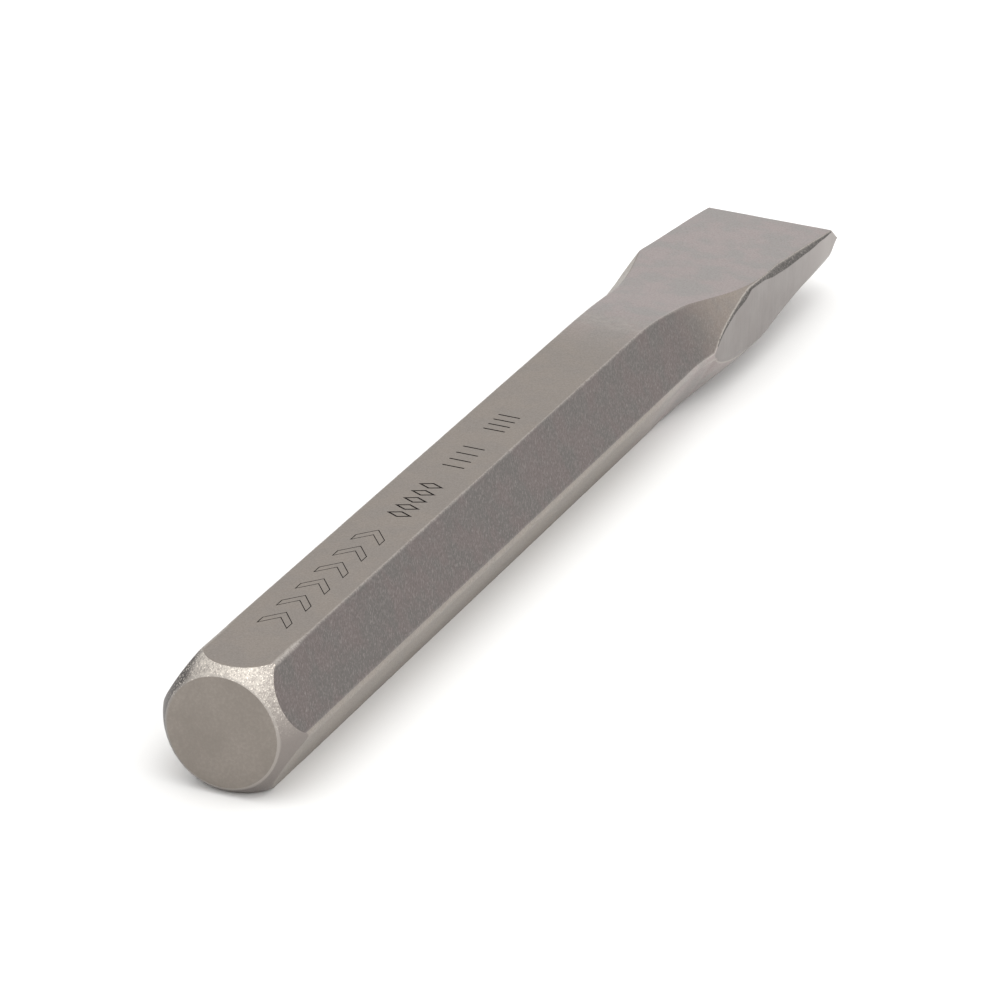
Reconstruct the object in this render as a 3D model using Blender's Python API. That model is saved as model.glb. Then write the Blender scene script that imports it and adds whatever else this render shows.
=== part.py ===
"""A one-piece forged cold chisel made from hexagonal bar.

The bar lies along X on one of its flats, with the striking face at -X and the cutting
edge at +X. The origin is under the middle of the tool, on the surface that it rests on.
Everything is in metres. The head is measured from the striking face, and the blade is
measured back from the cutting edge, so the plain bar between them takes up any change
of length.
"""

import math

import bmesh
import bpy
from mathutils import Vector

# Overall sizes
OVERALL_LENGTH = 0.1778
ACROSS_FLATS = 0.015875
CORNER_RADIUS = 0.0006
CORNER_LAND = 0.0005

# Striking head: a flat face, and a turned crown that runs back on to the bar's corners
STRIKING_FACE_DIAMETER = 0.01397
CROWN_SETBACK = 0.0055

# Wedge: how far from the edge the top and bottom flats start to draw down, and the length
# over which they curve into the straight wedge
WEDGE_LENGTH = 0.0643
WEDGE_EASING = 0.0285

# Blade: forged out from the bar's width to the shoulder, then ground to width on its sides
SHOULDER_FROM_EDGE = 0.0278
SHOULDER_THICKNESS = 0.0087
SHOULDER_WIDTH = 0.01905
EDGE_WIDTH = 0.0186
SPREAD_LENGTH = 0.028
GRINDING_RUN_IN = 0.006

# How far the flanks lean out, as width over height, where they meet the blade
FLANK_LEAN = 0.9
FLANK_EASING = 0.022

# The forged corner left between the top face and each ground side: its size, where it
# starts before the shoulder, the length it grows over, and the length it fades over
FORGED_CORNER_WIDTH = 0.0003
FORGED_CORNER_HEIGHT = 0.0013
FORGED_CORNER_LEAD = 0.008
FORGED_CORNER_RISE = 0.014
FORGED_CORNER_FADE = 0.020

# Cutting edge: thickness where the bevels start, and the land left at the very edge
CREST_THICKNESS = 0.0037
EDGE_LAND = 0.0002
EDGE_ANGLE = math.radians(70)

# Smallest drop, as a share of a section's height, from its top face to its side
LEAST_DROP = 0.15

# Fineness of the mesh, and how far one solid runs past another that trims it
CORNER_STEPS = 3
CROWN_STEPS = 10
TURNED_SIDES = 96
BLADE_STEPS = 32
OVERRUN = 0.002
SHARP_ANGLE = math.radians(25)

# Largest share of a side that a rounded corner may take, and how near two points must be
# to count as one
LONGEST_CUT_SHARE = 0.45
WELD = 1e-7

# Sizes that follow from those above
HEX_LEAN = math.tan(math.radians(30))
BAR_HALF_HEIGHT = ACROSS_FLATS / 2
BAR_HALF_FLAT = BAR_HALF_HEIGHT * HEX_LEAN
BAR_HALF_CORNERS = ACROSS_FLATS / math.sqrt(3)
BEVEL_LENGTH = (CREST_THICKNESS - EDGE_LAND) / 2 / math.tan(EDGE_ANGLE / 2)
CREST = OVERALL_LENGTH - BEVEL_LENGTH
WEDGE_START = OVERALL_LENGTH - WEDGE_LENGTH
SHOULDER = OVERALL_LENGTH - SHOULDER_FROM_EDGE
SPREAD_START = SHOULDER - SPREAD_LENGTH


def mix(first, second, share):
    return first + (second - first) * share


def ease(past, run):
    """0 to 1 along a run, level at both ends."""
    share = min(max(past / run, 0), 1)
    return share * share * (3 - 2 * share)


def wedge_half(along):
    """Half the thickness of the straight wedge, from the shoulder to the bevels."""
    share = (along - SHOULDER) / (CREST - SHOULDER)
    return mix(SHOULDER_THICKNESS, CREST_THICKNESS, share) / 2


def half_height(along):
    """Half the thickness of the tool: bar, curve, straight wedge, then bevels."""
    if along > CREST:
        return mix(CREST_THICKNESS, EDGE_LAND, (along - CREST) / BEVEL_LENGTH) / 2
    share = max(along - WEDGE_START, 0) / WEDGE_EASING
    if share >= 1:
        return wedge_half(along)
    # A cubic that leaves the bar level and arrives at the wedge on its slope
    arrival = wedge_half(WEDGE_START + WEDGE_EASING)
    slope = (CREST_THICKNESS - SHOULDER_THICKNESS) / 2 / (CREST - SHOULDER)
    drop = (arrival - BAR_HALF_HEIGHT) * (3 - 2 * share) * share**2
    return BAR_HALF_HEIGHT + drop + slope * WEDGE_EASING * (share - 1) * share**2


def ground_side(along):
    """Half the width between the two flat sides that the blade is ground to."""
    share = (along - SHOULDER) / SHOULDER_FROM_EDGE
    return mix(SHOULDER_WIDTH, EDGE_WIDTH, share) / 2


def forged_corner_share(along):
    """The forged corner grows around the shoulder and fades out at the cutting edge."""
    rise = ease(along - SHOULDER + FORGED_CORNER_LEAD, FORGED_CORNER_RISE)
    return rise * min((OVERALL_LENGTH - along) / FORGED_CORNER_FADE, 1)


def section_corners(along):
    """The eight corners of the section, as (across, up) from the bar's axis."""
    height = half_height(along)
    spread = ease(along - SPREAD_START, SPREAD_LENGTH)
    lean = mix(HEX_LEAN, FLANK_LEAN, ease(along - SPREAD_START, FLANK_EASING))
    share = forged_corner_share(along)
    corner_width = max(FORGED_CORNER_WIDTH * share, LEAST_DROP * height * lean)
    corner_drop = max(FORGED_CORNER_HEIGHT * share, LEAST_DROP * height)

    flat = mix(BAR_HALF_FLAT, ground_side(along) - corner_width, spread)
    unground = flat + lean * (height - min(CORNER_LAND / 2, height / 2))
    ground_away = max(unground - ground_side(along), 0)
    side = unground - ground_away * ease(along - SPREAD_START, GRINDING_RUN_IN)
    side_top = height - max((side - flat) / lean, corner_drop)

    right = [(flat, height), (side, side_top), (side, -side_top), (flat, -height)]
    left = [(-across, up) for across, up in reversed(right)]
    return [Vector(corner) for corner in right + left]


def rounded(corners, radius):
    """A closed outline with an arc at each corner, smaller where a side is too short."""
    points = []
    for index, corner in enumerate(corners):
        to_back = corners[index - 1] - corner
        to_ahead = corners[(index + 1) % len(corners)] - corner
        half_inside = to_back.angle(to_ahead) / 2
        longest_cut = LONGEST_CUT_SHARE * min(to_back.length, to_ahead.length)
        cut = min(radius / math.tan(half_inside), longest_cut)
        start = corner + to_back.normalized() * cut
        end = corner + to_ahead.normalized() * cut
        inwards = (start + end - 2 * corner).normalized()
        centre = corner + inwards * cut / math.cos(half_inside)
        arc_radius = (start - centre).length
        for step in range(CORNER_STEPS + 1):
            direction = (start - centre).slerp(end - centre, step / CORNER_STEPS)
            points.append(centre + direction.normalized() * arc_radius)
    return points


def mesh_object(name, mesh_builder):
    """An object at the bar's axis whose mesh is written by mesh_builder."""
    shape = bmesh.new()
    mesh_builder(shape)
    bmesh.ops.recalc_face_normals(shape, faces=shape.faces)
    mesh = bpy.data.meshes.new(name)
    shape.to_mesh(mesh)
    shape.free()
    mesh.shade_smooth()
    mesh.set_sharp_from_angle(angle=SHARP_ANGLE)
    made = bpy.data.objects.new(name, mesh)
    made.location = (-OVERALL_LENGTH / 2, 0, BAR_HALF_HEIGHT)
    bpy.context.scene.collection.objects.link(made)
    return made


def forged_bar(shape):
    """The bar and its blade, as sections joined from behind the head to the edge."""
    blade_start = min(WEDGE_START, SPREAD_START)
    step = (CREST - blade_start) / BLADE_STEPS
    stations = [blade_start + step * index for index in range(BLADE_STEPS + 1)]
    rings = []
    for along in [-OVERRUN, *stations, OVERALL_LENGTH]:
        outline = rounded(section_corners(along), CORNER_RADIUS)
        rings.append([shape.verts.new((along, point.x, point.y)) for point in outline])
    for near, far in zip(rings, rings[1:]):
        for index in range(len(near)):
            before = index - 1
            shape.faces.new((near[before], near[index], far[index], far[before]))
    shape.faces.new(rings[0])
    shape.faces.new(reversed(rings[-1]))


def head_envelope(shape):
    """The turned shape that the head is trimmed to: face, crown, then clear of the tool."""
    face_radius = STRIKING_FACE_DIAMETER / 2
    rise = BAR_HALF_CORNERS - face_radius
    crown_radius = (CROWN_SETBACK**2 + rise**2) / (2 * rise)
    crown_sweep = math.asin(CROWN_SETBACK / crown_radius)
    clear_radius = BAR_HALF_CORNERS + OVERRUN + SHOULDER_WIDTH + EDGE_WIDTH

    profile = [(0, 0)]
    for step in range(CROWN_STEPS + 1):
        angle = crown_sweep * (1 - step / CROWN_STEPS)
        along = CROWN_SETBACK - crown_radius * math.sin(angle)
        outwards = BAR_HALF_CORNERS - crown_radius * (1 - math.cos(angle))
        profile.append((along, outwards))
    profile.append((CROWN_SETBACK, clear_radius))
    profile.append((OVERALL_LENGTH + OVERRUN, clear_radius))
    profile.append((OVERALL_LENGTH + OVERRUN, 0))

    line = [shape.verts.new((along, 0, outwards)) for along, outwards in profile]
    edges = [shape.edges.new(pair) for pair in zip(line, line[1:])]
    bmesh.ops.spin(
        shape,
        geom=line + edges,
        cent=(0, 0, 0),
        axis=(1, 0, 0),
        angle=math.tau,
        steps=TURNED_SIDES,
    )
    bmesh.ops.remove_doubles(shape, verts=shape.verts, dist=WELD)


def steel():
    """Dull grey tool steel."""
    finish = bpy.data.materials.new("forged_steel")
    finish.use_nodes = True
    shader = finish.node_tree.nodes["Principled BSDF"]
    shader.inputs["Base Color"].default_value = (0.30, 0.27, 0.25, 1)
    shader.inputs["Metallic"].default_value = 0.85
    shader.inputs["Roughness"].default_value = 0.5
    return finish


for old in list(bpy.data.objects):
    bpy.data.objects.remove(old)

envelope = mesh_object("head_envelope", head_envelope)
envelope.hide_render = True
envelope.display_type = "WIRE"

chisel = mesh_object("chisel", forged_bar)
chisel.data.materials.append(steel())
crown_cut = chisel.modifiers.new("Crown", "BOOLEAN")
crown_cut.operation = "INTERSECT"
crown_cut.object = envelope
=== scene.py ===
import math

import bmesh
import bpy
from mathutils import Matrix, Vector, noise


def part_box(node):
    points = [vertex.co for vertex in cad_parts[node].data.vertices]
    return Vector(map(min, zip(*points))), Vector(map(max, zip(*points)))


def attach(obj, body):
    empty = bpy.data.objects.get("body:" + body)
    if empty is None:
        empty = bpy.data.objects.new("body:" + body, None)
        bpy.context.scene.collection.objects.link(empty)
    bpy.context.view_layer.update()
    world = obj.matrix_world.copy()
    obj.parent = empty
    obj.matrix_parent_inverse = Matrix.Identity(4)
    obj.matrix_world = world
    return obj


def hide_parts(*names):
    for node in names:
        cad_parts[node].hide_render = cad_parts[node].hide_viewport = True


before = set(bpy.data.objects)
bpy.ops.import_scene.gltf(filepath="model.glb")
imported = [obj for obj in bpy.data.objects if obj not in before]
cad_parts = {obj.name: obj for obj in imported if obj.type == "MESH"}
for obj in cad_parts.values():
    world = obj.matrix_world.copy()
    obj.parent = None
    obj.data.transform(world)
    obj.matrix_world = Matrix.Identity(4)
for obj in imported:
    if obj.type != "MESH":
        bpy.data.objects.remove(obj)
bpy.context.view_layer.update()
print("frame loaded")

# The chisel is measured in millimetres: along from the striking face, across and up from the bar's axis
mm = 0.001
lowest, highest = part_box("chisel")
strikingFaceCentre = Vector((lowest.x, 0, (lowest.z + highest.z) / 2))
overallLength = (highest.x - lowest.x) / mm
barHalf = (highest.z - lowest.z) / mm / 2  # half the size across flats
flankLean = math.tan(math.radians(30))  # across over up, on a flank of the hexagon
halfFlat = barHalf * flankLean
halfCorners = barHalf / math.cos(math.radians(30))


def toFrame(along, across, up):
    return strikingFaceCentre + Vector((along, across, up)) * mm


def mix(first, second, share):
    return first + (second - first) * share


def ease(past, run):
    # 0 to 1 along a run, level at both ends
    share = min(max(past / run, 0), 1)
    return share * share * (3 - 2 * share)


def throughStops(stops, place):
    # A smooth value through (place, value) stops given in falling order of place
    if place >= stops[0][0]:
        return stops[0][1]
    for (start, first), (end, second) in zip(stops, stops[1:]):
        if place >= end:
            return mix(first, second, ease(start - place, start - end))
    return stops[-1][1]


# Viewpoint and light
viewpoint = {
    "fromStrikingFace": (-0.520435, -0.247070, 0.284353),
    "heading": 22.362,  # degrees from the tool's length, seen from above
    "tiltDown": 23.868,
    "roll": 1.888,
    "lens": 204.78,
    "sensor": 36.0,
}


def placeCamera():
    camera = bpy.data.cameras.new("camera")
    camera.lens = viewpoint["lens"]
    camera.sensor_width = viewpoint["sensor"]
    holder = bpy.data.objects.new("camera", camera)
    turn = Matrix.Rotation(math.radians(viewpoint["heading"] - 90), 4, "Z")
    tilt = Matrix.Rotation(math.radians(90 - viewpoint["tiltDown"]), 4, "X")
    roll = Matrix.Rotation(math.radians(viewpoint["roll"]), 4, "Z")
    place = strikingFaceCentre + Vector(viewpoint["fromStrikingFace"])
    holder.matrix_world = Matrix.Translation(place) @ turn @ tilt @ roll
    bpy.context.scene.collection.objects.link(holder)
    bpy.context.scene.camera = holder


studio = {
    "floorSide": 6.0,
    "floorGap": 0.00002,  # keeps the floor clear of the tool's lower flat
    "floorColour": (0.89, 0.89, 0.885),
    "floorRoughness": 0.9,
    "skyBright": (1.0, 0.995, 0.985),
    "skyDim": (0.50, 0.50, 0.505),
    "skyTowards": (-0.25, -0.50, 0.83),  # the sky is brightest overhead, to the right and behind the head
    "skyTurn": (-0.45, 0.9),  # from where to where, as a cosine with that way, it goes from dim to bright
    "skyStrength": 1.52,
    "softboxPlace": (-0.30, -0.35, 1.30),
    "softboxSide": 1.1,
    "softboxWatts": 2.0,
}


def buildSky(scene):
    world = bpy.data.worlds.new("paleRoom")
    scene.world = world
    world.use_nodes = True
    nodes, links = world.node_tree.nodes, world.node_tree.links
    background = nodes["Background"]
    background.inputs["Strength"].default_value = studio["skyStrength"]
    direction = nodes.new("ShaderNodeTexCoord")
    towards = nodes.new("ShaderNodeVectorMath")
    towards.operation = "DOT_PRODUCT"
    towards.inputs[1].default_value = studio["skyTowards"]
    turn = nodes.new("ShaderNodeMapRange")
    turn.interpolation_type = "SMOOTHSTEP"
    turn.inputs["From Min"].default_value, turn.inputs["From Max"].default_value = studio["skyTurn"]
    shade = nodes.new("ShaderNodeMix")
    shade.data_type = "RGBA"
    shade.inputs["A"].default_value = (*studio["skyDim"], 1)
    shade.inputs["B"].default_value = (*studio["skyBright"], 1)
    links.new(direction.outputs["Generated"], towards.inputs[0])
    links.new(towards.outputs["Value"], turn.inputs["Value"])
    links.new(turn.outputs["Result"], shade.inputs["Factor"])
    links.new(shade.outputs["Result"], background.inputs["Color"])


def buildSoftbox(scene):
    light = bpy.data.lights.new("softbox", "AREA")
    light.shape = "SQUARE"
    light.size = studio["softboxSide"]
    light.energy = studio["softboxWatts"]
    lamp = bpy.data.objects.new("softbox", light)
    lamp.location = studio["softboxPlace"]
    aim = toFrame(overallLength / 2, 0, 0) - lamp.location
    lamp.rotation_euler = aim.to_track_quat("-Z", "Y").to_euler()
    scene.collection.objects.link(lamp)


def buildFloor(scene):
    half = studio["floorSide"] / 2
    ring = [(-half, -half, 0), (half, -half, 0), (half, half, 0), (-half, half, 0)]
    mesh = bpy.data.meshes.new("paleFloor")
    mesh.from_pydata(ring, [], [(0, 1, 2, 3)])
    floor = bpy.data.objects.new("paleFloor", mesh)
    floor.location.z = lowest.z - studio["floorGap"]
    paint = bpy.data.materials.new("paleFloor")
    paint.use_nodes = True
    coat = paint.node_tree.nodes["Principled BSDF"]
    coat.inputs["Base Color"].default_value = (*studio["floorColour"], 1)
    coat.inputs["Roughness"].default_value = studio["floorRoughness"]
    coat.inputs["Specular IOR Level"].default_value = 0.0
    mesh.materials.append(paint)
    scene.collection.objects.link(floor)


def buildStudio():
    scene = bpy.context.scene
    scene.view_settings.view_transform = "Standard"
    buildSky(scene)
    buildSoftbox(scene)
    buildFloor(scene)


placeCamera()
buildStudio()
print("camera, light and floor in place")


# The forged body. Lengths called back are millimetres back from the cutting edge.
wedge = {
    "start": 64.3,  # where the top and bottom flats begin to draw down
    "straight": 35.8,  # from here on the wedge is straight
    "shoulder": 27.8,
    "shoulderHalf": 4.35,
    "crestHalf": 1.85,
    "edgeHalf": 0.1,
    "bevelAngle": 35,  # degrees, each side of the cutting edge
}
wedge["crest"] = (wedge["crestHalf"] - wedge["edgeHalf"]) / math.tan(math.radians(wedge["bevelAngle"]))

corners = {
    "sideRounding": 1.1,  # radius of the two side corners
    "topReach": 0.10,  # how far rounding reaches along the flats from a top corner
    "topWorn": 0.10,  # how much further where it is knocked about
    "headWorn": 0.22,  # how much further beside the crown
    "drawnSoft": 0.20,  # and how much further where the wedge is drawn down,
    "drawnFrom": 55.0,  # which starts this far back
    "drawnRun": 8.0,  # and comes and goes over this length
    "creaseReach": 0.15,
    "mostReach": 0.45,  # of the way to the next corner
    # Bare metal seen at each kind of corner, from none to all, as (on the bar, on the blade)
    "wear": {"face": (0.62, 0.0), "rim": (0.30, 1.0), "crease": (0.30, 0.0)},
    "headWear": 0.38,  # more of it beside the crown
    "edgeWear": 0.35,  # share of it left at the two ends of a corner's rounding
    # How unevenly the corners are knocked about: a mean, and waves that differ from corner to corner
    "meanWear": 0.5,
    "wearPitch": 0.9,  # cycles for each millimetre
    "wearWaves": [{"share": 0.7, "slower": 1, "apart": 7.3, "place": 2.1},
                  {"share": 0.5, "slower": 7, "apart": 5.1, "place": 8.4}],
}
# A side corner turns through 60 degrees in four steps, and these are its corners either side of level
sideTurn = math.radians(7.5)
sideMiddle = halfCorners - corners["sideRounding"] / math.cos(math.radians(30))
sidePoint = Vector((1, math.tan(sideTurn))) * corners["sideRounding"]

# The two sides of the blade are not quite alike: it was forged and ground a little off the bar's axis.
# A rim is the narrow forged corner between the blade's face and its ground side, and a crease is
# where the rim meets the ground side. Each list runs from the bar to the edge as (back, value).
blade = {
    "grindStart": 48.0,  # where the ground sides begin, at half height
    "rimStart": 47.0,  # from here on the rims are dark
    "sideSwell": (53.8, 46.8),  # where the side corner swells out to the ground side
    "lateSpread": 1.5,  # over 1 leaves more of the face's spreading to its end
    "liftRun": 20.0,  # length over which the top face comes up to its lift
    "mostDrop": 0.6,  # a rim's largest drop, as a share of the half height
    "leastRim": 0.02,
    "rimFall": 0.1,  # how steeply a rim falls away from its face, at the least
    "leftFlankLighter": 0.9,  # the left flank is lighter, in the bare-metal colour, where it meets the blade
}
bladeSides = {
    "right": {
        "lift": 0.14,  # how much higher the top face lies than the bottom face is deep
        # The face spreads from the bar's flat to full width, evenly (1) or late (0)
        "spread": {"upper": (50.8, 29.8, 1), "lower": (56.0, 28.8, 0)},
        # Where the ground side reaches the face, and under 1 rounds its start
        "rise": {"upper": (35.0, 0.65), "lower": (27.4, 0.70)},
        "ground": [(47.0, 9.60), (0.0, 9.06)],
        "rimDrop": [(48.0, 0.28), (45.5, 0.45), (41.0, 0.62), (37.5, 0.92), (34.3, 0.42), (30.5, 0.42),
                    (26.0, 0.85), (21.0, 0.98), (12.0, 0.82), (6.0, 0.55), (2.8, 0.35)],
        "rimWidth": [(48.0, 0.075), (42.0, 0.14), (35.0, 0.30), (30.0, 0.42), (23.0, 0.80), (17.5, 0.66),
                     (2.8, 0.15)],
    },
    "left": {
        "lift": 0.28,
        "spread": {"upper": (45.5, 28.6, 0), "lower": (45.5, 28.6, 0)},
        "rise": {"upper": (28.8, 0.80), "lower": (28.8, 0.80)},
        "ground": [(45.0, 9.02), (38.0, 9.02), (28.0, 9.38), (8.0, 9.36), (0.0, 9.18)],
        "rimDrop": [(48.0, 0.28), (36.0, 0.30), (28.0, 0.30), (2.8, 0.20)],
        "rimWidth": [(48.0, 0.075), (36.0, 0.20), (28.0, 0.12), (2.8, 0.10)],
    },
}
fineness = {
    "barStep": 0.6,
    "bladeStep": 0.4,
    "bevelSteps": 6,
    "faceRings": 10,
    "crownRows": 14,
    "edgeRows": 4,
    "neckRows": 8,
    "arcSteps": 5,
    "sharpFrom": 32,  # degrees between two faces
    # Points between two corners of a section
    "flat": 14,
    "flank": 10,
    "rim": 2,
    "side": 6,
}


crown = {
    "faceRadius": 6.985,
    "setback": 5.5,  # how far back the crown runs out on to the bar's corners
    "faceRounding": 0.22,
    "scallopRounding": 0.22,
    "mostRounding": 0.3,  # of the way over the crown
    "faceWear": 0.8,  # the thin bright line round the striking face
    "neck": 9.0,  # where the head's rows join the bar's
    "fade": 4.0,  # how far past the neck the corners are still more worn
}


def halfHeight(back):
    if back < wedge["crest"]:
        return mix(wedge["edgeHalf"], wedge["crestHalf"], back / wedge["crest"])
    slope = (wedge["shoulderHalf"] - wedge["crestHalf"]) / (wedge["shoulder"] - wedge["crest"])
    run = wedge["start"] - wedge["straight"]
    share = max(wedge["start"] - back, 0) / run
    if share >= 1:
        return wedge["crestHalf"] + slope * (back - wedge["crest"])
    # A cubic that leaves the bar level and arrives at the wedge on its slope
    arrival = wedge["crestHalf"] + slope * (wedge["straight"] - wedge["crest"])
    drop = (arrival - barHalf) * (3 - 2 * share) * share**2
    return barHalf + drop - slope * run * (share - 1) * share**2


def straightStops(stops, place):
    # As throughStops, but in straight runs
    for (start, first), (end, second) in zip(stops, stops[1:]):
        if place >= end:
            return mix(first, second, min(max((start - place) / (start - end), 0), 1))
    return stops[-1][1]


def spreadOf(back, side, half):
    # 0 where the flats are still the bar's, to 1 where the face is at full width
    start, end, even = side["spread"][half]
    share = min(max((start - back) / (start - end), 0), 1)
    return ease(share, 1) if even else share ** blade["lateSpread"]


def halfCornersOf(back, side, half):
    # Face corner, rim and crease of one side of one half, as (across, up from the axis or down)
    up = halfHeight(back)
    if half == "upper":
        lifted = ease(blade["grindStart"] - back, blade["liftRun"]) * min(back / wedge["crest"], 1)
        up += side["lift"] * lifted
    ground = straightStops(side["ground"], back)
    rimDrop = min(throughStops(side["rimDrop"], back), blade["mostDrop"] * up)
    rimWidth = throughStops(side["rimWidth"], back)

    barFlat = halfFlat + (barHalf - up) * flankLean  # the flat's edge, were the flanks still the bar's
    flat = mix(barFlat, ground - rimWidth, spreadOf(back, side, half))
    swellStart, swellEnd = blade["sideSwell"]
    across = mix(sideMiddle + sidePoint.x, ground, ease(swellStart - back, swellStart - swellEnd))

    meetsFace, roundness = side["rise"][half]
    rise = min(max((blade["grindStart"] - back) / (blade["grindStart"] - meetsFace), 0), 1)
    crease = mix(min(sidePoint.y, up - rimDrop), up - rimDrop, rise**roundness)
    rimAcross = max(across - rimWidth, flat + blade["leastRim"])
    rimUp = min(crease + rimDrop, up - blade["rimFall"] * (rimAcross - flat))
    return [Vector((flat, up)), Vector((rimAcross, rimUp)), Vector((across, crease))]


def wearAlong(along, corner):
    # 0 to 1, uneven along the tool and different at each corner
    wear = corners["meanWear"]
    for wave in corners["wearWaves"]:
        place = (along * corners["wearPitch"] / wave["slower"], corner * wave["apart"], wave["place"])
        wear += wave["share"] * noise.noise(Vector(place))
    return min(max(wear, 0), 1)


def besideCrown(along):
    # 1 where the bar's corners run out on the crown, fading to 0
    return ease(crown["neck"] + crown["fade"] - along, crown["fade"])


def forgedShare(back):
    # 0 on the bar, 1 on the blade
    start, end = blade["sideSwell"]
    return ease(start - back, start - end)


# The twelve corners and the twelve stretches between them run round from the right side's top corner
cornerKinds = ["face", "rim", "crease", "crease", "rim", "face"] * 2
stretchKinds = ["flank", "rim", "side", "rim", "flank", "flat"] * 2
upperFlanks = {"right": 0, "left": 10}
upperRims = {"right": 1, "left": 9}


def sectionCorners(along):
    # The corners all round as (across, up), with how far the rounding reaches from each
    back = overallLength - along
    right, left = bladeSides["right"], bladeSides["left"]
    places = [Vector((-point.x, point.y)) for point in halfCornersOf(back, right, "upper")]
    places += [Vector((-point.x, -point.y)) for point in reversed(halfCornersOf(back, right, "lower"))]
    places += [Vector((point.x, -point.y)) for point in halfCornersOf(back, left, "lower")]
    places += [Vector((point.x, point.y)) for point in reversed(halfCornersOf(back, left, "upper"))]

    forged = forgedShare(back)
    sideReach = mix(corners["sideRounding"] * math.tan(sideTurn), corners["creaseReach"], forged)
    run = corners["drawnRun"]
    drawn = ease(corners["drawnFrom"] - back, run) * ease(back - wedge["shoulder"], run)
    faceReach = mix(corners["topReach"], corners["creaseReach"], forged)
    faceReach += corners["headWorn"] * besideCrown(along) + corners["drawnSoft"] * drawn
    reaches = []
    for index, kind in enumerate(cornerKinds):
        worn = corners["topWorn"] * (1 - forged) * wearAlong(along, index) ** 2
        reaches.append(faceReach + worn if kind == "face" else sideReach)
    return places, reaches


def cornerWear(along, kind, forged):
    onBar, onBlade = corners["wear"][kind]
    atHead = corners["headWear"] * besideCrown(along) if kind == "face" else 0
    return mix(onBar, onBlade, forged) + atHead


def stretchWear(stretch, forged):
    if stretch == upperFlanks["left"]:
        return blade["leftFlankLighter"] * forged
    # On the bar the rims and the side are all part of the rounded side corner
    onBar = corners["wear"]["crease"][0] if stretchKinds[stretch] in ("rim", "side") else 0
    return onBar * (1 - forged)


def outline(along):
    # Points of one section, each with its wear and the stretch it belongs to
    places, reaches = sectionCorners(along)
    forged = forgedShare(overallLength - along)
    ends = []
    for index, corner in enumerate(places):
        toBack = places[index - 1] - corner
        toAhead = places[(index + 1) % len(places)] - corner
        backward = toBack.normalized() * min(reaches[index], corners["mostReach"] * toBack.length)
        forward = toAhead.normalized() * min(reaches[index], corners["mostReach"] * toAhead.length)
        ends.append((corner + backward, corner + forward))
    points = []
    for index, corner in enumerate(places):
        kind = cornerKinds[index]
        wear = cornerWear(along, kind, forged)
        least = 1 if kind == "crease" else corners["edgeWear"]
        start, end = ends[index]
        for step in range(fineness["arcSteps"] + 1):
            share = step / fineness["arcSteps"]
            point = start.lerp(corner, share).lerp(corner.lerp(end, share), share)
            rubbed = wear * mix(least, 1, 1 - abs(2 * share - 1))
            stretch = index if share >= 0.5 else (index - 1) % len(stretchKinds)
            points.append((point, rubbed, stretch))
        following = ends[(index + 1) % len(places)][0]
        between = fineness[stretchKinds[index]]
        for step in range(1, between + 1):
            share = 0.5 - 0.5 * math.cos(math.pi * step / (between + 1))
            points.append((end.lerp(following, share), stretchWear(index, forged), index))
    return points


def crownArc():
    # Centre and radius of the crown's arc, in (along, radius)
    rise = halfCorners - crown["faceRadius"]
    arcRadius = (crown["setback"] ** 2 + rise**2) / (2 * rise)
    return Vector((crown["setback"], halfCorners - arcRadius)), arcRadius


def softEdge(before, edge, after, steps):
    shares = [step / steps for step in range(steps + 1)]
    return [before.lerp(edge, share).lerp(edge.lerp(after, share), share) for share in shares]


def headProfile(radius):
    # (along, radius) from the face's middle out over the crown to the neck, each with its finish,
    # for a point of the bar this far out from the axis
    centre, arcRadius = crownArc()
    startAngle = math.atan2(crown["faceRadius"] - centre.y, -centre.x)
    scallop = Vector((centre.x - math.sqrt(arcRadius**2 - (radius - centre.y) ** 2), radius))
    endAngle = math.atan2(scallop.y - centre.y, scallop.x - centre.x)

    def onArc(angle):
        return centre + Vector((math.cos(angle), math.sin(angle))) * arcRadius

    faceCut = crown["faceRounding"]
    overCrown = (scallop - onArc(startAngle)).length
    edgeCut = min(crown["scallopRounding"], crown["mostRounding"] * overCrown)
    afterFace = startAngle - faceCut / arcRadius
    beforeScallop = endAngle + edgeCut / arcRadius

    rings = fineness["faceRings"]
    flatRadius = crown["faceRadius"] - faceCut
    points = [(Vector((0, flatRadius * ring / rings)), "strikingFace") for ring in range(1, rings)]
    faceEdge = Vector((0, crown["faceRadius"]))
    for point in softEdge(Vector((0, flatRadius)), faceEdge, onArc(afterFace), fineness["edgeRows"]):
        onFace = point.y < crown["faceRadius"] - faceCut / 2
        points.append((point, "strikingFace" if onFace else "crownSteel"))
    rows = fineness["crownRows"]
    points += [(onArc(mix(afterFace, beforeScallop, row / rows)), "crownSteel") for row in range(1, rows)]
    flatStart = scallop + Vector((edgeCut, 0))
    softened = softEdge(onArc(beforeScallop), scallop, flatStart, fineness["edgeRows"])
    for row, point in enumerate(softened):
        points.append((point, "crownSteel" if row < fineness["edgeRows"] / 2 else "bar"))
    neck = Vector((crown["neck"], radius))
    rows = fineness["neckRows"]
    points += [(flatStart.lerp(neck, row / rows), "bar") for row in range(1, rows + 1)]
    return points


# Putting the body together
finishes = ["litScale", "shadedScale", "crownSteel", "strikingFace", "groundSteel", "rimScale", "groove"]
surface = {
    "from": 66.0,  # how far back the skin begins to be uneven
    "run": 14.0,  # and the length over which that grows
    "waveDepth": 0.035,
    "wavePitch": 0.28,  # cycles for each millimetre
    "pitDepth": 0.012,
    "pitPitch": 1.7,
    "mostDip": 0.3,  # of the way in to the axis
}


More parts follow.
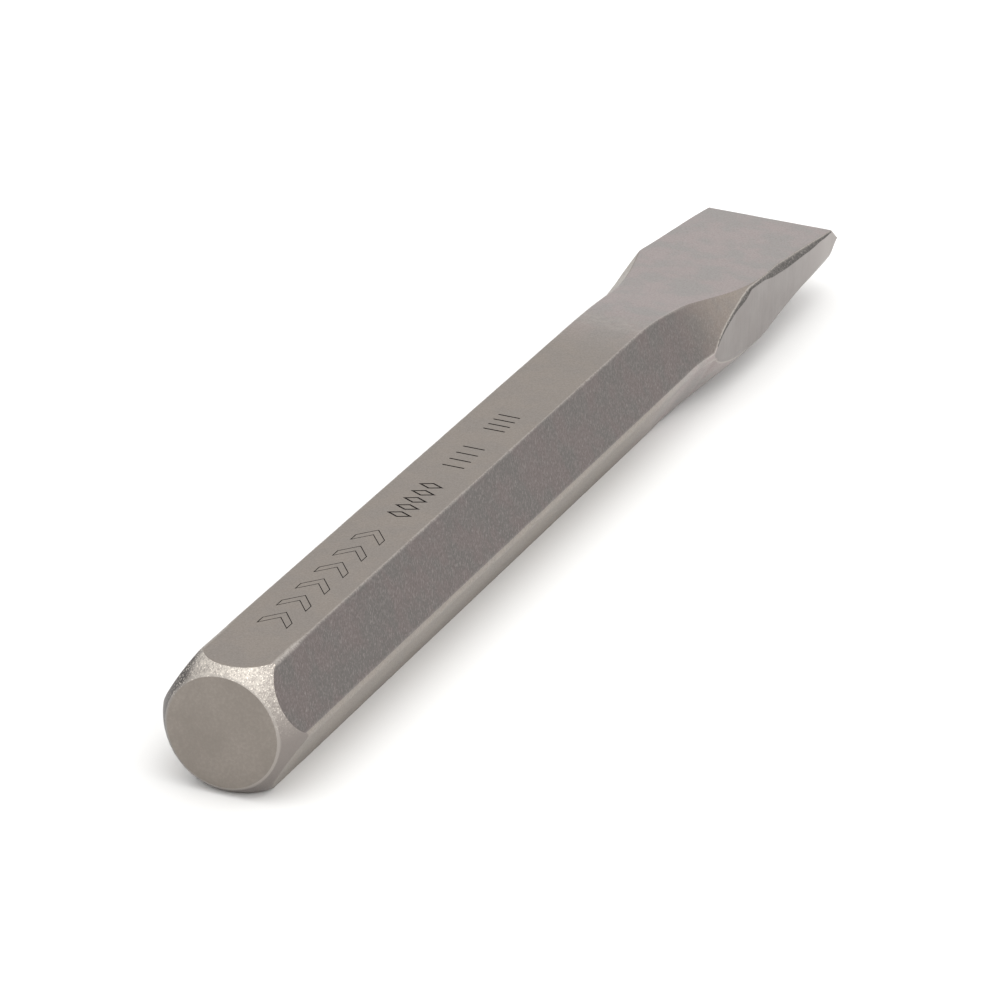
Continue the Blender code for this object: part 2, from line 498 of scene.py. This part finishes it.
def hollow(place, back):
    # How far the forged skin dips, in millimetres
    forged = ease(surface["from"] - back, surface["run"])
    wave = surface["waveDepth"] * (0.5 + noise.noise(place * surface["wavePitch"]))
    pit = surface["pitDepth"] * (0.5 + noise.noise(place * surface["pitPitch"]))
    return forged * (wave + pit)


def headRows():
    # The rows of the striking face, the crown and the start of the bar
    section = outline(crown["neck"])
    columns = [headProfile(point.length) for point, _, _ in section]
    rows = []
    for level in zip(*columns):
        places = []
        for (point, _, _), ((along, radius), _) in zip(section, level):
            turned = point.normalized() * radius
            places.append(Vector((along, turned.x, turned.y)))
        firstPoint, finish = level[0]
        atEdge = abs(firstPoint.y - crown["faceRadius"]) < crown["faceRounding"]
        edgeWear = crown["faceWear"] if atEdge else 0
        wear = [worn if finish == "bar" else edgeWear for _, worn, _ in section]
        rows.append((places, wear, finish))
    return rows


def stations():
    # Where the rows of the bar and the blade stand, each with its finish
    found = []
    along = crown["neck"]
    crest = overallLength - wedge["crest"]
    while along < crest - fineness["bladeStep"]:
        forging = overallLength - along < wedge["start"]
        along += fineness["bladeStep"] if forging else fineness["barStep"]
        found.append((min(along, crest), "bar"))
    for step in range(1, fineness["bevelSteps"] + 1):
        found.append((mix(crest, overallLength, step / fineness["bevelSteps"]), "groundSteel"))
    return found


def barRow(along, finish):
    places, wear = [], []
    for point, worn, _ in outline(along):
        place = Vector((along, point.x, point.y))
        dip = hollow(place, overallLength - along) if finish == "bar" else 0
        inward = point.normalized() * min(dip, surface["mostDip"] * point.length)
        places.append(place - Vector((0, inward.x, inward.y)))
        wear.append(worn)
    return places, wear, finish


def stretchFinish(stretch, along, rowFinish):
    # The finish of one stretch of a row: the ground sides and their dark rims are on the blade only
    if rowFinish != "bar":
        return rowFinish
    back = overallLength - along
    kind = stretchKinds[stretch]
    if kind == "side" and back < blade["grindStart"]:
        return "groundSteel"
    if kind == "rim" and back < blade["rimStart"]:
        return "rimScale" if stretch in upperRims.values() else "groundSteel"
    # The upper flanks take the copy of the scale in painted shade, the rest the lit copy
    return "shadedScale" if stretch in upperFlanks.values() else "litScale"


def buildBody():
    # Each row is (points, wear, finish), and a point is (along, across, up)
    rows = headRows() + [barRow(along, finish) for along, finish in stations()]
    stretches = [stretch for _, _, stretch in outline(crown["neck"])]
    shape = bmesh.new()
    wearLayer = shape.verts.layers.float.new("wear")
    middle = shape.verts.new(toFrame(0, 0, 0))
    rings = []
    for places, wear, _ in rows:
        ring = [shape.verts.new(toFrame(*place)) for place in places]
        for vert, worn in zip(ring, wear):
            vert[wearLayer] = worn
        rings.append(ring)
    for index in range(len(stretches)):
        face = shape.faces.new((middle, rings[0][index], rings[0][index - 1]))
        face.material_index = finishes.index("strikingFace")
    for near, far, (places, _, rowFinish) in zip(rings, rings[1:], rows[1:]):
        for index, stretch in enumerate(stretches):
            before = index - 1
            face = shape.faces.new((near[before], near[index], far[index], far[before]))
            finish = stretchFinish(stretch, places[index].x, rowFinish)
            face.material_index = finishes.index(finish)
    cap = shape.faces.new(rings[-1])
    cap.material_index = finishes.index("groundSteel")
    bmesh.ops.recalc_face_normals(shape, faces=shape.faces)
    mesh = bpy.data.meshes.new("chiselBody")
    shape.to_mesh(mesh)
    shape.free()
    body = bpy.data.objects.new("chiselBody", mesh)
    bpy.context.scene.collection.objects.link(body)
    return body


# The marks cut in the top flat
marks = {
    "depth": 0.12,
    "above": 0.3,  # how far the cutter stands clear of the flat
    "endSteps": 4,  # fineness of a tick's round ends
    "leastSpread": 0.35,  # keeps a sharp corner's stroke from running out too far
    "rimWidth": 0.12,  # stroke of the large outlined marks
    "tickWidth": 0.26,
    "chevrons": {"first": 13.0, "pitch": 5.15, "count": 6, "length": 3.9, "halfWidth": 1.85, "band": 1.5},
    "diamonds": {"first": 48.0, "pitch": 2.35, "count": 5, "length": 1.5, "low": -1.7, "high": 1.1},
    "ticks": [{"first": 64.0, "pitch": 2.1, "count": 4, "low": -1.7, "high": 1.0},
              {"first": 76.6, "pitch": 1.6, "count": 4, "low": -1.7, "high": 1.0}],
}


def offsetLoop(points, distance):
    # The loop moved sideways by a distance, with its corners kept sharp
    moved = []
    for index, point in enumerate(points):
        arriving = (point - points[index - 1]).normalized()
        leaving = (points[(index + 1) % len(points)] - point).normalized()
        sideways = Vector((arriving.y + leaving.y, -arriving.x - leaving.x))
        sideways.normalize()
        spread = sideways.dot(Vector((arriving.y, -arriving.x)))
        moved.append(point + sideways * distance / max(spread, marks["leastSpread"]))
    return moved


def addWall(shape, ring):
    # A closed loop's verts at the bottom of the cut and clear of the flat
    low, high = barHalf - marks["depth"], barHalf + marks["above"]
    lower = [shape.verts.new(toFrame(point.x, point.y, low)) for point in ring]
    upper = [shape.verts.new(toFrame(point.x, point.y, high)) for point in ring]
    return lower, upper


def cutLoop(shape, points, width):
    # A stroke that runs round a closed loop
    outerLow, outerHigh = addWall(shape, offsetLoop(points, width / 2))
    innerLow, innerHigh = addWall(shape, offsetLoop(points, -width / 2))
    rings = [outerLow, outerHigh, innerHigh, innerLow]
    for index in range(len(points)):
        before = index - 1
        for turn, first in enumerate(rings):
            second = rings[(turn + 1) % len(rings)]
            shape.faces.new((first[before], first[index], second[index], second[before]))


def cutStroke(shape, start, end, width):
    # A straight stroke with rounded ends
    direction = (end - start).normalized()
    ring = []
    for centre, firstAngle in ((end, -90), (start, 90)):
        for step in range(marks["endSteps"] + 1):
            angle = math.radians(firstAngle + 180 * step / marks["endSteps"])
            turned = Matrix.Rotation(angle, 2) @ direction
            ring.append(centre + turned * width / 2)
    lower, upper = addWall(shape, ring)
    for index in range(len(ring)):
        shape.faces.new((lower[index - 1], lower[index], upper[index], upper[index - 1]))
    shape.faces.new(lower)
    shape.faces.new(upper)


def cutChevrons(shape):
    row = marks["chevrons"]
    half, band = row["halfWidth"], row["band"]
    for number in range(row["count"]):
        tail = row["first"] + number * row["pitch"]
        nose = tail + row["length"]
        notch = nose - band
        loop = [(tail, -half), (tail + band, -half), (nose, 0), (tail + band, half), (tail, half), (notch, 0)]
        cutLoop(shape, [Vector(point) for point in loop], marks["rimWidth"])


def cutDiamonds(shape):
    row = marks["diamonds"]
    low, high = row["low"], row["high"]
    half = row["length"] / 2
    centre = (low + high) / 2
    for number in range(row["count"]):
        middle = row["first"] + number * row["pitch"]
        loop = [(middle - half, centre), (middle, low), (middle + half, centre), (middle, high)]
        cutLoop(shape, [Vector(point) for point in loop], marks["tickWidth"])


def cutTicks(shape, row):
    for number in range(row["count"]):
        along = row["first"] + number * row["pitch"]
        cutStroke(shape, Vector((along, row["low"])), Vector((along, row["high"])), marks["tickWidth"])


def buildMarkCutter():
    shape = bmesh.new()
    cutChevrons(shape)
    cutDiamonds(shape)
    for row in marks["ticks"]:
        cutTicks(shape, row)
    bmesh.ops.recalc_face_normals(shape, faces=shape.faces)
    mesh = bpy.data.meshes.new("markCutter")
    shape.to_mesh(mesh)
    shape.free()
    cutter = bpy.data.objects.new("markCutter", mesh)
    bpy.context.scene.collection.objects.link(cutter)
    return cutter


def cutMarks(body, cutter):
    cut = body.modifiers.new("marks", "BOOLEAN")
    cut.operation = "DIFFERENCE"
    cut.solver = "EXACT"
    cut.object = cutter
    cut.material_mode = "TRANSFER"
    graph = bpy.context.evaluated_depsgraph_get()
    evaluated = body.evaluated_get(graph)
    cutMesh = bpy.data.meshes.new_from_object(evaluated, preserve_all_data_layers=True, depsgraph=graph)
    body.modifiers.clear()
    old = body.data
    body.data = cutMesh
    bpy.data.meshes.remove(old)
    cutMesh.name = "chiselBody"
    bpy.data.objects.remove(cutter)


# Patterns in the finishes. The pitch is in cycles for each metre, the spots say from what value of
# the pattern to what value it goes from none to all, and the depth is that of the relief, in metres.
patterns = {
    "scaleCloud": {"pitch": 240, "detail": 3, "rough": 0.6, "spots": (0.38, 0.62)},
    "scaleStreaks": {"pitch": 6500, "detail": 2, "rough": 0.7, "spots": (0.48, 0.74),
                     "lean": (1.186, -2.521, -0.426), "stretch": (0.3, 1, 1)},
    "scaleGrain": {"pitch": 4200, "detail": 3, "rough": 0.6, "spots": (0.40, 0.70), "depth": 0.000008},
    "scaleWaves": {"pitch": 260, "detail": 3, "rough": 0.6, "depth": 0.00002},
    "rubbed": {"pitch": 3200, "detail": 3, "rough": 0.75, "spots": (0.34, 0.58)},
    "banded": {"pitch": 900, "detail": 3, "rough": 0.7, "spots": (0.35, 0.70)},
    "crownGrain": {"pitch": 5200, "detail": 2, "rough": 0.7, "spots": (0.54, 0.68), "depth": 0.000006},
    "crownScratches": {"pitch": 3400, "detail": 3, "rough": 0.7, "spots": (0.42, 0.62), "depth": 0.000012,
                       "stretch": (0.3, 1, 1)},
    "crownPatches": {"pitch": 420, "detail": 3, "rough": 0.6, "spots": (0.42, 0.62)},
    "faceGrain": {"pitch": 2600, "detail": 3, "rough": 0.65, "spots": (0.40, 0.68), "depth": 0.000008},
    "faceCloud": {"pitch": 160, "detail": 3, "rough": 0.6, "spots": (0.40, 0.70), "depth": 0.00002},
    "groundStrokes": {"pitch": 2400, "detail": 3, "rough": 0.6, "spots": (0.35, 0.65), "depth": 0.000005,
                      "stretch": (1, 1, 0.12)},
    "groundCloud": {"pitch": 120, "detail": 3, "rough": 0.6, "depth": 0.00002},
    "darkGrain": {"pitch": 3200, "detail": 2, "rough": 0.7, "spots": (0.46, 0.74), "depth": 0.00002},
    "rimRubbed": {"pitch": 2100, "detail": 3, "rough": 0.7, "spots": (0.30, 0.50)},
}

# Colours and gloss of the steel. Places are in millimetres from the middle of the striking face.
steel = {
    # The forging scale comes in two copies: a lit one for the flats and lower flanks, and the same scale in
    # painted shade for the upper flanks
    "litScale": {"base": (0.240, 0.209, 0.182), "cool": (0.227, 0.201, 0.179),
                    "light": (0.33, 0.30, 0.275), "glintSpeckle": 0.30, "roughness": (0.41, 0.52)},
    "shadedScale": {"base": (0.134, 0.112, 0.107), "cool": (0.120, 0.110, 0.104),
                   "light": (0.27, 0.24, 0.23), "glintSpeckle": 0.62, "roughness": (0.47, 0.58)},
    # What the two turn to on the blade, and between which places along the tool
    "bladeScale": {"base": (0.325, 0.280, 0.272), "cool": (0.288, 0.268, 0.258), "between": (103, 124)},
    "warmScale": {"base": (0.262, 0.226, 0.194), "cool": (0.240, 0.212, 0.190), "between": (122, 142)},
    "allScale": {"pits": 0.16, "pitShade": 0.5, "leastRubbed": 0.25, "metallic": 0.6},
    # A faint lighter band across the flats, where they begin to draw down
    "lightBand": {"rise": (112.5, 116), "fall": (120, 116), "strength": 0.9},
    # The crown's colour holds painted light: lighter on top with painted glints, painted shade below, to the
    # right and on the left
    "crownSteel": {"base": (0.58, 0.54, 0.488), "dullAndShade": (0.236, 0.212, 0.198),
                   "leftShadeColour": (0.115, 0.105, 0.100), "litUpSpan": (-0.5, 8.0), "rightShadeSpan": (-1.5, -6.0),
                   "leftShadeSpan": (3.6, 5.2), "patched": 0.22, "scratched": 0.62, "rightShadeShare": 0.38,
                   "rubbed": 0.6, "grained": 0.9, "grainShine": 1.6, "roughness": (0.36, 0.50)},
    "strikingFace": {"base": (0.255, 0.228, 0.203), "light": (0.31, 0.28, 0.252), "grained": 0.45,
                     "clouded": 0.5, "cloudShade": 0.92, "roughness": (0.48, 0.57)},
    # The ground side is painted lighter towards the tip, a painted reflection
    "groundSteel": {"base": (0.270, 0.248, 0.238), "dark": (0.256, 0.235, 0.226),
                    "light": (0.35, 0.322, 0.31), "tipReflection": (156, 176), "roughness": (0.39, 0.49)},
    "rimScale": {"base": (0.090, 0.083, 0.078), "light": (0.27, 0.25, 0.235), "roughness": (0.55, 0.68)},
    "groove": {"base": (0.030, 0.026, 0.024), "light": (0.055, 0.048, 0.043), "roughness": (0.70, 0.83)},
    "darkMetallic": 0.8,
    "worn": (0.42, 0.39, 0.36),
    "glossSpots": (0.3, 0.7),  # values of a pattern between which a finish goes from its first roughness
}


class Finish:
    # A material with a Principled shader and short ways to add what feeds it
    def __init__(self, name):
        self.material = bpy.data.materials.new(name)
        self.material.use_nodes = True
        self.nodes = self.material.node_tree.nodes
        self.links = self.material.node_tree.links
        self.shader = self.nodes["Principled BSDF"]
        self.place = self.nodes.new("ShaderNodeTexCoord").outputs["Object"]
        self.drawn = {}

    def laid(self, lean, stretch):
        # The place turned by lean, then stretched along its axes
        turned = self.nodes.new("ShaderNodeVectorRotate")
        turned.rotation_type = "EULER_XYZ"
        turned.inputs["Rotation"].default_value = lean
        mapping = self.nodes.new("ShaderNodeMapping")
        mapping.inputs["Scale"].default_value = stretch
        self.links.new(self.place, turned.inputs["Vector"])
        self.links.new(turned.outputs["Vector"], mapping.inputs["Vector"])
        return mapping.outputs["Vector"]

    def pattern(self, name):
        # Each pattern is drawn once in a finish, however often it is used
        if name not in self.drawn:
            look = patterns[name]
            place = self.laid(look.get("lean", (0, 0, 0)), look.get("stretch", (1, 1, 1)))
            made = self.nodes.new("ShaderNodeTexNoise")
            made.inputs["Scale"].default_value = look["pitch"]
            made.inputs["Detail"].default_value = look["detail"]
            made.inputs["Roughness"].default_value = look["rough"]
            self.links.new(place, made.inputs["Vector"])
            self.drawn[name] = made.outputs["Fac"]
        return self.drawn[name]

    def ranged(self, source, fromRange, toRange=(0.0, 1.0)):
        made = self.nodes.new("ShaderNodeMapRange")
        made.interpolation_type = "SMOOTHSTEP"
        made.inputs["From Min"].default_value, made.inputs["From Max"].default_value = fromRange
        made.inputs["To Min"].default_value, made.inputs["To Max"].default_value = toRange
        self.links.new(source, made.inputs["Value"])
        return made.outputs["Result"]

    def spots(self, name, least=0.0):
        return self.ranged(self.pattern(name), patterns[name]["spots"], (least, 1.0))

    def between(self, letter, span):
        # 0 to 1 from one place to another along an axis
        parts = self.nodes.new("ShaderNodeSeparateXYZ")
        self.links.new(self.place, parts.inputs["Vector"])
        origin = getattr(strikingFaceCentre, letter.lower())
        return self.ranged(parts.outputs[letter], [origin + value * mm for value in span])

    def multiplied(self, first, second):
        made = self.nodes.new("ShaderNodeMath")
        made.operation = "MULTIPLY"
        self.links.new(first, made.inputs[0])
        if isinstance(second, float):
            made.inputs[1].default_value = second
        else:
            self.links.new(second, made.inputs[1])
        return made.outputs["Value"]

    def mixed(self, share, first, second):
        made = self.nodes.new("ShaderNodeMix")
        made.data_type = "RGBA"
        self.links.new(share, made.inputs["Factor"])
        for socket, value in ((made.inputs["A"], first), (made.inputs["B"], second)):
            if isinstance(value, tuple):
                socket.default_value = (*value, 1)
            else:
                self.links.new(value, socket)
        return made.outputs["Result"]

    def wear(self):
        made = self.nodes.new("ShaderNodeAttribute")
        made.attribute_name = "wear"
        return made.outputs["Fac"]

    def relief(self, *names):
        # Each pattern's relief is laid over the one before
        normal = None
        for name in names:
            made = self.nodes.new("ShaderNodeBump")
            made.inputs["Distance"].default_value = patterns[name]["depth"]
            self.links.new(self.pattern(name), made.inputs["Height"])
            if normal:
                self.links.new(normal, made.inputs["Normal"])
            normal = made.outputs["Normal"]
        self.links.new(normal, self.shader.inputs["Normal"])

    def finish(self, colour, glossPattern, roughness, metallic=1.0):
        gloss = self.ranged(self.pattern(glossPattern), steel["glossSpots"], roughness)
        self.links.new(colour, self.shader.inputs["Base Color"])
        self.links.new(gloss, self.shader.inputs["Roughness"])
        self.shader.inputs["Metallic"].default_value = metallic
        return self.material


def shaded(colour, share):
    return tuple(channel * share for channel in colour)


def scaleFinish(name, onBlade, banded):
    # Forging scale, speckled with bare metal and painted glints, that changes to another colour on the blade.
    # It is made as a lit copy and as a copy in painted shade for the upper flanks.
    made = Finish(name)
    look, bladeLook, both = steel[name], steel[onBlade], steel["allScale"]
    changed = made.between("X", bladeLook["between"])
    warm = made.mixed(changed, look["base"], bladeLook["base"])
    cool = made.mixed(changed, look["cool"], bladeLook["cool"])
    colour = made.mixed(made.spots("scaleCloud"), warm, cool)
    pits = made.multiplied(made.spots("scaleGrain"), both["pits"])
    colour = made.mixed(pits, colour, shaded(look["base"], both["pitShade"]))
    # Light speckle: partly bare metal flecks, partly painted glints
    glintSpeckle = made.multiplied(made.spots("scaleStreaks"), look["glintSpeckle"])
    colour = made.mixed(glintSpeckle, colour, look["light"])
    rubbed = made.multiplied(made.wear(), made.spots("rubbed", both["leastRubbed"]))
    colour = made.mixed(rubbed, colour, steel["worn"])
    if banded:
        lightBand = steel["lightBand"]
        band = made.multiplied(made.between("X", lightBand["rise"]), made.between("X", lightBand["fall"]))
        band = made.multiplied(made.multiplied(band, made.spots("banded")), lightBand["strength"])
        colour = made.mixed(band, colour, look["light"])
    made.relief("scaleGrain", "scaleWaves")
    return made.finish(colour, "scaleGrain", look["roughness"], both["metallic"])


def crownFinish():
    # Bare metal, knocked and rubbed, painted lighter on top with painted glints on its grain, with
    # painted shade below and to the right, and darker painted shade on the left
    made = Finish("crownSteel")
    look = steel["crownSteel"]
    # Painted light on top and painted shade below
    above = made.between("Z", look["litUpSpan"])
    colour = made.mixed(above, look["dullAndShade"], look["base"])
    dullAndShadedPlaces = [
        (made.spots("crownPatches"), look["patched"]),
        (made.spots("crownScratches"), look["scratched"]),
        # painted shade on the right side
        (made.between("Y", look["rightShadeSpan"]), look["rightShadeShare"]),
    ]
    for where, strength in dullAndShadedPlaces:
        colour = made.mixed(made.multiplied(where, strength), colour, look["dullAndShade"])
    # Darker painted shade on the left
    colour = made.mixed(made.between("Y", look["leftShadeSpan"]), colour, look["leftShadeColour"])
    colour = made.mixed(made.multiplied(made.wear(), look["rubbed"]), colour, steel["worn"])
    # Painted glints on the grain, on top only
    bright = made.multiplied(made.multiplied(made.spots("crownGrain"), above), look["grained"])
    colour = made.mixed(bright, colour, shaded(look["base"], look["grainShine"]))
    made.relief("crownScratches", "crownGrain")
    return made.finish(colour, "crownGrain", look["roughness"])


def strikingFaceFinish():
    made = Finish("strikingFace")
    look = steel["strikingFace"]
    grained = made.multiplied(made.spots("faceGrain"), look["grained"])
    colour = made.mixed(grained, look["base"], look["light"])
    clouded = made.multiplied(made.spots("faceCloud"), look["clouded"])
    colour = made.mixed(clouded, colour, shaded(look["base"], look["cloudShade"]))
    made.relief("faceGrain", "faceCloud")
    return made.finish(colour, "faceCloud", look["roughness"])


def groundSteelFinish():
    made = Finish("groundSteel")
    look = steel["groundSteel"]
    colour = made.mixed(made.spots("groundStrokes"), look["dark"], look["base"])
    # Painted reflection: the ground side lighter towards the tip
    colour = made.mixed(made.between("X", look["tipReflection"]), colour, look["light"])
    colour = made.mixed(made.wear(), colour, steel["worn"])
    made.relief("groundStrokes", "groundCloud")
    return made.finish(colour, "groundCloud", look["roughness"])


def darkFinish(name, rubbed):
    # Black scale, left in a mark or on a rim that is rubbed at its edges
    made = Finish(name)
    look = steel[name]
    colour = made.mixed(made.spots("darkGrain"), look["base"], look["light"])
    if rubbed:
        bare = made.multiplied(made.wear(), made.spots("rimRubbed"))
        colour = made.mixed(bare, colour, steel["worn"])
    made.relief("darkGrain")
    return made.finish(colour, "darkGrain", look["roughness"], steel["darkMetallic"])


materials = {
    # The scale as a lit copy and as a copy in painted shade
    "litScale": scaleFinish("litScale", "bladeScale", banded=True),
    "shadedScale": scaleFinish("shadedScale", "warmScale", banded=False),
    "crownSteel": crownFinish(),
    "strikingFace": strikingFaceFinish(),
    "groundSteel": groundSteelFinish(),
    "rimScale": darkFinish("rimScale", rubbed=True),
    "groove": darkFinish("groove", rubbed=False),
}
print("finishes mixed")

body = buildBody()
for name in finishes:
    body.data.materials.append(materials[name])
print("body forged:", len(body.data.polygons), "faces")

cutter = buildMarkCutter()
cutter.data.materials.append(materials["groove"])
cutMarks(body, cutter)
body.data.shade_smooth()
body.data.set_sharp_from_angle(angle=math.radians(fineness["sharpFrom"]))
print("marks cut:", len(body.data.polygons), "faces")

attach(body, "root")
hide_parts("chisel")
